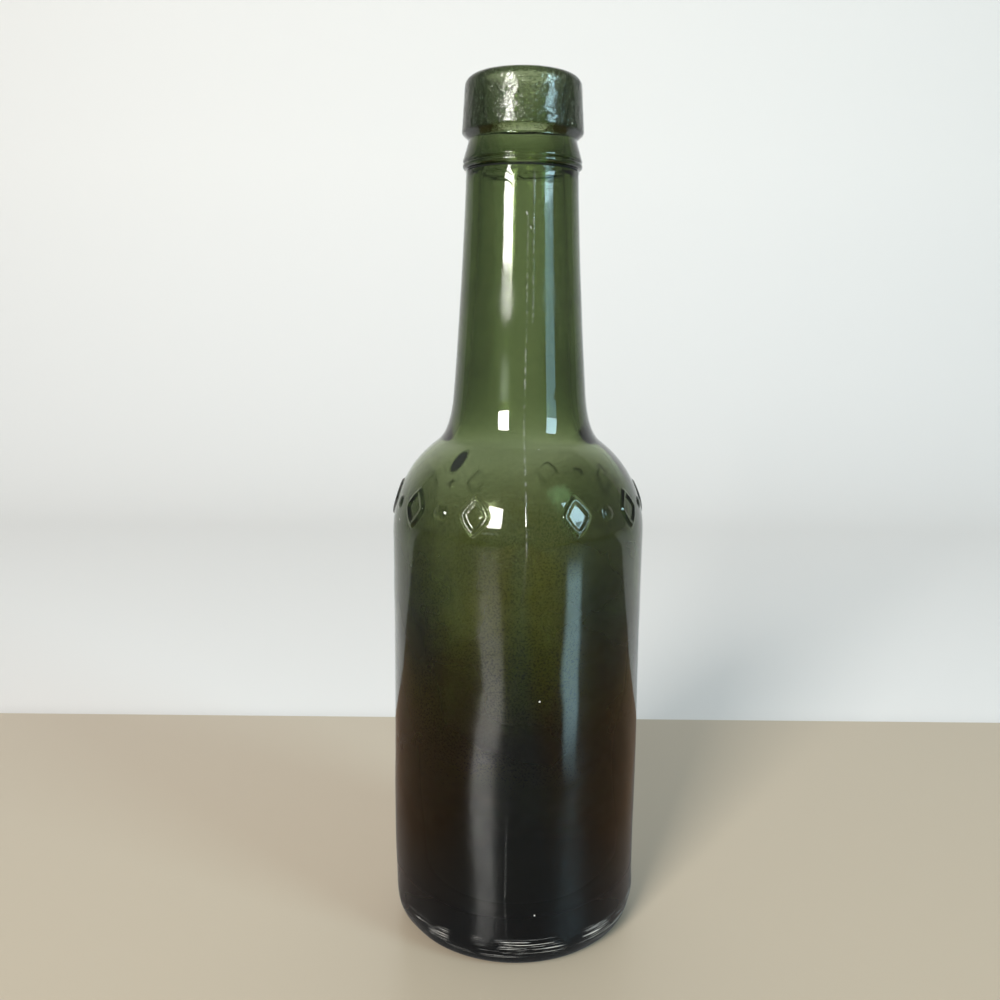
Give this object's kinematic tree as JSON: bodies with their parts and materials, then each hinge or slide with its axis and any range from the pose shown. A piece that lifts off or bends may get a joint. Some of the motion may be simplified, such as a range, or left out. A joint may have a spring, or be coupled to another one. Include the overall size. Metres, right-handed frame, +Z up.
{
  "type": "bitters bottle",
  "caption": "Antique round bitters bottle in olive-green glass, empty and open, with a raised shoulder band, a tapered neck and a tooled lip over a skirt ring; stands on its base.",
  "frame": {"origin": "middle of the ring that the bottle stands on, at table height", "axes": "+Z up along the bottle's axis, -Y towards the viewer"},
  "size_m": [0.0628, 0.0624, 0.208],
  "materials": {
    "olive_glass": "fire-polished mould-blown glass"
  },
  "bodies": {
    "root": {"bottle": "olive_glass"}
  },
  "joints": []
}
